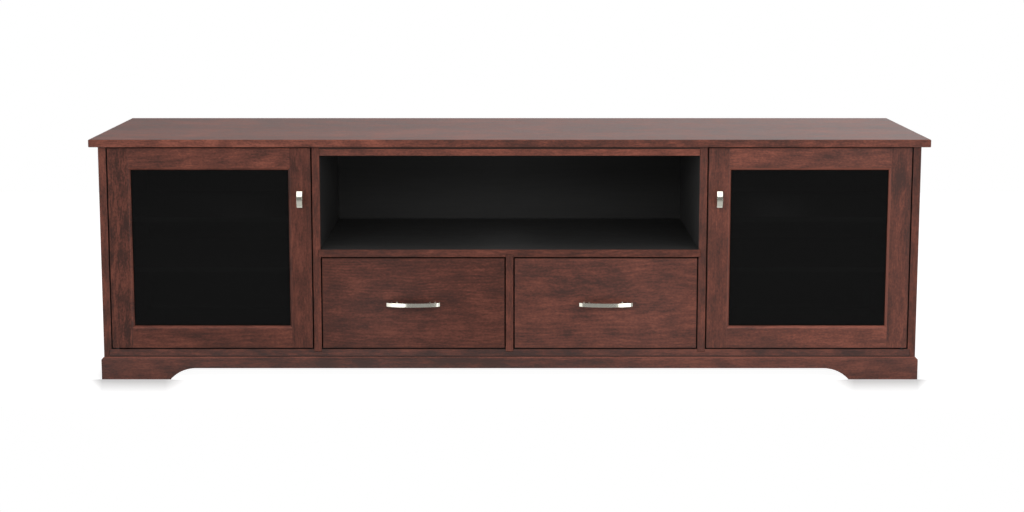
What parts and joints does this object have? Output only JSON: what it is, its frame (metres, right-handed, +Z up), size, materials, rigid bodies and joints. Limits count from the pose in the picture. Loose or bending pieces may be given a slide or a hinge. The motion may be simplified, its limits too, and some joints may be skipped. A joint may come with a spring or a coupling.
{
  "type": "media console",
  "caption": "Low wooden media console on a bracket-foot plinth, with an open centre bay over drawers and a glazed hinged door with shelves at each end.",
  "frame": {"origin": "on the floor, under the middle of the console's bounding box, handles included", "axes": "+X to the right seen from the front, -Y out of the front, +Z up"},
  "size_m": [2.083, 0.528, 0.61],
  "materials": {
    "stained_cherry": "red-brown stained cherry under satin lacquer",
    "black_stain": "matt black stained board",
    "drawer_maple": "clear lacquered maple",
    "smoked_glass": "dark tinted float glass",
    "satin_nickel": "satin nickel plate",
    "zinc_steel": "bright zinc plated steel"
  },
  "bodies": {
    "case": {"top_panel": "stained_cherry", "left_side_panel": "stained_cherry", "right_side_panel": "stained_cherry", "left_partition": "stained_cherry", "right_partition": "stained_cherry", "bottom_panel": "stained_cherry", "bay_shelf": "stained_cherry", "bay_top_rail": "stained_cherry", "drawer_partition": "stained_cherry", "plinth_front": "stained_cherry", "plinth_left": "stained_cherry", "plinth_right": "stained_cherry", "plinth_back": "stained_cherry", "back_panel": "black_stain", "left_lower_shelf": "black_stain", "left_upper_shelf": "black_stain", "right_lower_shelf": "black_stain", "right_upper_shelf": "black_stain", "left_top_hinge_case_leaf": "zinc_steel", "left_bottom_hinge_case_leaf": "zinc_steel", "right_top_hinge_case_leaf": "zinc_steel", "right_bottom_hinge_case_leaf": "zinc_steel", "left_drawer_left_case_runner": "zinc_steel", "left_drawer_right_case_runner": "zinc_steel", "right_drawer_left_case_runner": "zinc_steel", "right_drawer_right_case_runner": "zinc_steel"},
    "left_door": {"left_door_hinge_stile": "stained_cherry", "left_door_pull_stile": "stained_cherry", "left_door_top_rail": "stained_cherry", "left_door_bottom_rail": "stained_cherry", "left_door_glass": "smoked_glass", "left_door_glass_stop": "stained_cherry", "left_door_knob": "satin_nickel", "left_top_hinge_door_leaf": "zinc_steel", "left_bottom_hinge_door_leaf": "zinc_steel"},
    "right_door": {"right_door_hinge_stile": "stained_cherry", "right_door_pull_stile": "stained_cherry", "right_door_top_rail": "stained_cherry", "right_door_bottom_rail": "stained_cherry", "right_door_glass": "smoked_glass", "right_door_glass_stop": "stained_cherry", "right_door_knob": "satin_nickel", "right_top_hinge_door_leaf": "zinc_steel", "right_bottom_hinge_door_leaf": "zinc_steel"},
    "left_drawer": {"left_drawer_front": "stained_cherry", "left_drawer_left_side": "drawer_maple", "left_drawer_right_side": "drawer_maple", "left_drawer_back": "drawer_maple", "left_drawer_bottom": "drawer_maple", "left_drawer_pull": "satin_nickel", "left_drawer_left_drawer_runner": "zinc_steel", "left_drawer_right_drawer_runner": "zinc_steel"},
    "right_drawer": {"right_drawer_front": "stained_cherry", "right_drawer_left_side": "drawer_maple", "right_drawer_right_side": "drawer_maple", "right_drawer_back": "drawer_maple", "right_drawer_bottom": "drawer_maple", "right_drawer_pull": "satin_nickel", "right_drawer_left_drawer_runner": "zinc_steel", "right_drawer_right_drawer_runner": "zinc_steel"}
  },
  "joints": [
    {"name": "left_door_hinge", "type": "hinge", "parent": "case", "child": "left_door", "pos_m": [-0.9883, -0.229, 0.3337], "axis": [0, 0, -1], "range_deg": [0, 110]},
    {"name": "right_door_hinge", "type": "hinge", "parent": "case", "child": "right_door", "pos_m": [0.9883, -0.229, 0.3337], "axis": [0, 0, 1], "range_deg": [0, 110]},
    {"name": "left_drawer_slide", "type": "slide", "parent": "case", "child": "left_drawer", "axis": [0, -1, 0], "range_m": [0, 0.3]},
    {"name": "right_drawer_slide", "type": "slide", "parent": "case", "child": "right_drawer", "axis": [0, -1, 0], "range_m": [0, 0.3]}
  ]
}
